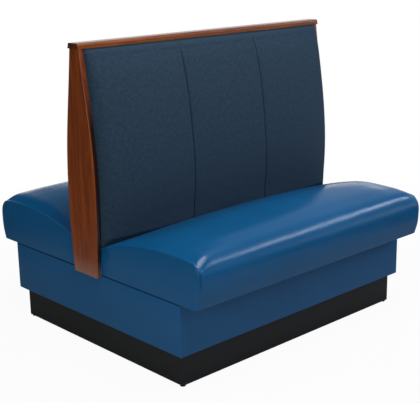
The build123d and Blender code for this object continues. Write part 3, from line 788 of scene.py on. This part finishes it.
# %% [markdown]
# ## Dressing and mounting the soft pieces
# The far side of the booth is the near side turned half round. Each piece takes its cloth, hides
# the built parts it stands for, and rides on its body.

# %% Place the soft pieces
def settle(piece, material, slot, body, *nodes):
    """Gives a piece its material and its place in the frame."""
    piece.data.materials.append(material)
    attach(piece, body)
    if nodes:
        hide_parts(*nodes)


def smooth_once(piece):
    """One live subdivision, the same in view and in render."""
    finer = piece.modifiers.new("smoother", "SUBSURF")
    finer.levels = finer.render_levels = 1


rear_seat = half_turn(front_seat, "rear_seat_cushion")
for piece, side in ((front_seat, "front"), (rear_seat, "rear")):
    covered = [side + "_seat_" + part for part in ("cover", "foam", "edge_roll")]
    settle(piece, seat_vinyl, "blue_vinyl", side + "_seat", *covered)
    smooth_once(piece)

opposite = {"left": "right", "middle": "middle", "right": "left"}
for word, piece in list(channels.items()):
    far_piece = half_turn(piece, "back_channel_rear_" + opposite[word])
    for one, side, place in ((piece, "front", word), (far_piece, "rear", opposite[word])):
        covered = ["back_cover_" + side + "_" + place]
        if place == "middle":
            covered.append("back_foam_" + side)
        settle(one, navy_weave, "navy_fabric", "base", *covered)
        smooth_once(one)

# %% [markdown]
# ## The skirt's covering
# The box under the seats is boards wrapped in the same vinyl, 1.2 mm thick, pulled over their edges
# and stapled inside. Modelled as one thin profile, shaped like a C, carried round the box along a
# rectangle with 3 mm corners, so its edges are soft where vinyl turns over wood.

# %% Skirt covering
skirt_low, skirt_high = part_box("skirt_cover")
sheet = 1.2 * MM
return_depth = 19.2 * MM


def bend(radius, centre_out, centre_z, start, stop, steps=5):
    """Points of an arc: (offset inwards, height) round a centre, angles in quarter turns."""
    angle = np.linspace(start, stop, steps) * np.pi / 2
    return np.stack([centre_out - radius * np.cos(angle), centre_z + radius * np.sin(angle)], axis=-1)


outer_bend, low, high = 3.7 * MM, skirt_low.z, skirt_high.z
inner_bend = outer_bend - sheet
skin_profile = np.concatenate([
    [[return_depth, low]], bend(outer_bend, outer_bend, low + outer_bend, -1, 0),
    bend(outer_bend, outer_bend, high - outer_bend, 0, 1), [[return_depth, high]],
    [[return_depth, high - sheet]], bend(inner_bend, outer_bend, high - outer_bend, 1, 0),
    bend(inner_bend, outer_bend, low + outer_bend, 0, -1), [[return_depth, low + sheet]]])


def around(offset, corner_steps=7, straight_steps=24):
    """A rectangle with round corners, drawn in by each offset: (offsets, points, 2)."""
    offset = offset[:, None]
    radius = np.maximum(3 * MM - offset, 0.15 * MM)
    angle = np.concatenate([np.linspace(0, np.pi / 2, corner_steps) + q * np.pi / 2 for q in range(4)])[None]
    towards = np.repeat(angle.reshape(4, -1).mean(1), corner_steps)[None]
    sign_x, sign_y = np.sign(np.cos(towards)), np.sign(np.sin(towards))
    x = sign_x * (skirt_high.x - offset - radius) + radius * np.cos(angle)
    y = sign_y * (skirt_high.y - offset - radius) + radius * np.sin(angle)
    bends = np.stack([x, y], axis=-1).reshape(len(offset), 4, corner_steps, 2)
    onward = np.roll(bends, -1, axis=1)[:, :, :1]
    share = (np.arange(1, straight_steps) / straight_steps)[:, None]
    runs = bends[:, :, -1:] + (onward - bends[:, :, -1:]) * share
    return np.concatenate([bends, runs], axis=2).reshape(len(offset), -1, 2)


outline = around(skin_profile[:, 0])
levels = np.broadcast_to(skin_profile[:, None, 1:], outline.shape[:2] + (1,))
wrap_points = np.concatenate([outline, levels], axis=-1)
index = np.arange(outline.shape[0] * outline.shape[1]).reshape(outline.shape[:2])
next_row, next_point = np.roll(index, -1, axis=0), np.roll(index, -1, axis=1)
wrap_faces = np.stack([index, next_point, np.roll(next_row, -1, axis=1), next_row], axis=-1).reshape(-1, 4)
skirt = mesh_piece("skirt_covering", wrap_points.reshape(-1, 3), wrap_faces)
settle(skirt, skirt_vinyl, "blue_vinyl", "base", "skirt_cover")

# %% [markdown]
# ## Floor, background and light
# The booth stands on a white studio floor. The camera sees a nearly white floor that still holds a
# faint shadow. A long softbox in front on the right draws the bright line along the seat's front
# edge, and a broad one overhead gives the tops their light. Vinyl and lacquer mirror a dimmer
# studio than the camera sees: pale near the horizon behind the booth, brighter to its right, and
# with the floor fading out, as their dark reflections in the photograph show.

# %% Studio
def seen_rays(tree):
    """1 for camera rays, and 1 for the rays that glossy and clear surfaces send out."""
    path = add(tree, "ShaderNodeLightPath")
    mirrored = add(tree, "ShaderNodeMath", {0: path.outputs["Is Glossy Ray"],
                                            1: path.outputs["Is Transmission Ray"]},
                   operation="ADD", use_clamp=True).outputs[0]
    return path.outputs["Is Camera Ray"], mirrored


def studio_floor():
    """To the camera mostly white, whiter with distance; in mirrored rays it fades out 1.3 to 1.9 m away."""
    made, tree = finish_named("white_studio_floor")
    camera_ray, mirrored = seen_rays(tree)
    place = add(tree, "ShaderNodeTexCoord").outputs["Object"]
    distance = add(tree, "ShaderNodeVectorMath", {0: place}, operation="LENGTH").outputs["Value"]
    paper = add(tree, "ShaderNodeMapRange", {0: distance, 1: 0.9, 2: 2.4, 3: 0.95, 4: 1.0}).outputs[0]
    gone = add(tree, "ShaderNodeMapRange", {0: distance, 1: 1.35, 2: 1.85, 3: 0.62, 4: 1.0}).outputs[0]
    seen = add(tree, "ShaderNodeMath", {0: camera_ray, 1: paper}, operation="MULTIPLY").outputs[0]
    share = add(tree, "ShaderNodeMath", {0: mirrored, 1: gone, 2: seen}, operation="MULTIPLY_ADD").outputs[0]
    level = add(tree, "ShaderNodeMix", {0: mirrored, 2: 1.0, 3: 0.03}, data_type="FLOAT").outputs[0]
    matt = add(tree, "ShaderNodeBsdfDiffuse", {"Color": paint("d0d0d0")}).outputs[0]
    white = add(tree, "ShaderNodeEmission", {"Color": (1.0, 1.0, 1.0, 1.0), "Strength": level}).outputs[0]
    both = add(tree, "ShaderNodeMixShader", {0: share, 1: matt, 2: white}).outputs[0]
    add(tree, "ShaderNodeOutputMaterial", {"Surface": both})
    return made


floor_mesh = bpy.data.meshes.new("studio_floor")
reach_out = 9.0
floor_mesh.from_pydata([(-reach_out, -reach_out, 0), (reach_out, -reach_out, 0),
                        (reach_out, reach_out, 0), (-reach_out, reach_out, 0)], [], [(0, 1, 2, 3)])
floor = bpy.data.objects.new("studio_floor", floor_mesh)
bpy.context.scene.collection.objects.link(floor)
floor_mesh.materials.append(studio_floor())


def room_light():
    """White to the camera, grey to matt surfaces; glossy ones see it bright at the right and low behind."""
    world = bpy.data.worlds.new("studio_room")
    bpy.context.scene.world = world
    world.use_nodes = True
    tree = world.node_tree
    tree.nodes.clear()
    way = add(tree, "ShaderNodeTexCoord").outputs["Generated"]
    behind = add(tree, "ShaderNodeVectorMath", {0: way, 1: (0.93, 0.28, 0.24)},
                 operation="DOT_PRODUCT").outputs["Value"]
    camera_ray, mirrored = seen_rays(tree)
    plain = add(tree, "ShaderNodeMapRange", {0: behind, 1: -1.0, 2: 1.0, 3: 0.155, 4: 0.20}).outputs[0]
    dim = add(tree, "ShaderNodeMapRange", {0: behind, 1: 0.5, 2: 0.98, 3: 0.02, 4: 0.66}).outputs[0]
    height = add(tree, "ShaderNodeSeparateXYZ", {0: way}).outputs["Z"]
    low = add(tree, "ShaderNodeMapRange", {0: height, 1: 0.13, 2: 0.20, 3: 1.0, 4: 0.0}).outputs[0]
    facing = add(tree, "ShaderNodeMapRange", {0: behind, 1: 0.3, 2: 0.6, 3: 0.0, 4: 1.0}).outputs[0]
    backdrop = add(tree, "ShaderNodeMath", {0: low, 1: facing}, operation="MULTIPLY").outputs[0]
    glare = add(tree, "ShaderNodeMath", {0: dim, 1: backdrop}, operation="MAXIMUM").outputs[0]
    level = add(tree, "ShaderNodeMix", {0: mirrored, 2: plain, 3: glare}, data_type="FLOAT").outputs[0]
    strength = add(tree, "ShaderNodeMix", {0: camera_ray, 2: level, 3: 1.0}, data_type="FLOAT").outputs[0]
    cool = add(tree, "ShaderNodeMath", {0: mirrored, 1: backdrop}, operation="SUBTRACT",
               use_clamp=True).outputs[0]
    colour = add(tree, "ShaderNodeMix", {0: cool, 6: paint("ffffff"), 7: paint("cfe1ff")},
                 data_type="RGBA").outputs[2]
    glow = add(tree, "ShaderNodeBackground", {"Color": colour, "Strength": strength}).outputs[0]
    add(tree, "ShaderNodeOutputWorld", {"Surface": glow})


room_light()


def softbox(name, at, aim, size, power, tint="ffffff"):
    """A rectangular lamp at a point, turned to face another."""
    lamp = bpy.data.lights.new(name, "AREA")
    lamp.shape, lamp.size, lamp.size_y = "RECTANGLE", size[0], size[1]
    lamp.energy, lamp.color = power, paint(tint)[:3]
    holder = bpy.data.objects.new(name, lamp)
    holder.location = at
    holder.rotation_euler = (Vector(aim) - Vector(at)).to_track_quat("-Z", "Y").to_euler()
    bpy.context.scene.collection.objects.link(holder)


softbox("softbox_overhead", (-0.15, -1.2, 3.3), (0.0, -0.2, 0.6), (2.6, 1.4), 75.0)
softbox("strip_front_right", (2.28, -2.32, 1.9), (0.0, -0.4, 0.5), (2.05, 0.12), 20.0, "dbe8ff")
softbox("softbox_camera_side", (-3.4, -1.4, 1.4), (0.0, 0.0, 0.6), (1.6, 1.6), 29.0)

# %% [markdown]
# ## The camera
# Its place, turn and lens were fitted to the straight edges in the photograph: it looks from the
# left front corner, a little down, 3.7 m away.

# %% Camera
azimuth, elevation, roll = math.radians(-42.816), math.radians(15.223), math.radians(-1.045)
backward = Vector((math.sin(azimuth) * math.cos(elevation), -math.cos(azimuth) * math.cos(elevation),
                   math.sin(elevation)))
level_right = (-backward).cross(Vector((0, 0, 1))).normalized()
level_up = level_right.cross(-backward)
right = level_right * math.cos(roll) + level_up * math.sin(roll)
up = level_up * math.cos(roll) - level_right * math.sin(roll)
lens = bpy.data.cameras.new("photo_camera")
lens.lens, lens.sensor_width = 81.71, 36.0
camera = bpy.data.objects.new("photo_camera", lens)
turned = Matrix((right, up, backward)).transposed().to_4x4()
camera.matrix_world = Matrix.Translation((-2.366007, -2.560577, 1.379488)) @ turned
bpy.context.scene.collection.objects.link(camera)
bpy.context.scene.camera = camera
bpy.context.scene.view_settings.view_transform = "Standard"

# %% [markdown]
# ## Last step
# The view layer is brought up to date.

# %% Update the view layer
bpy.context.view_layer.update()
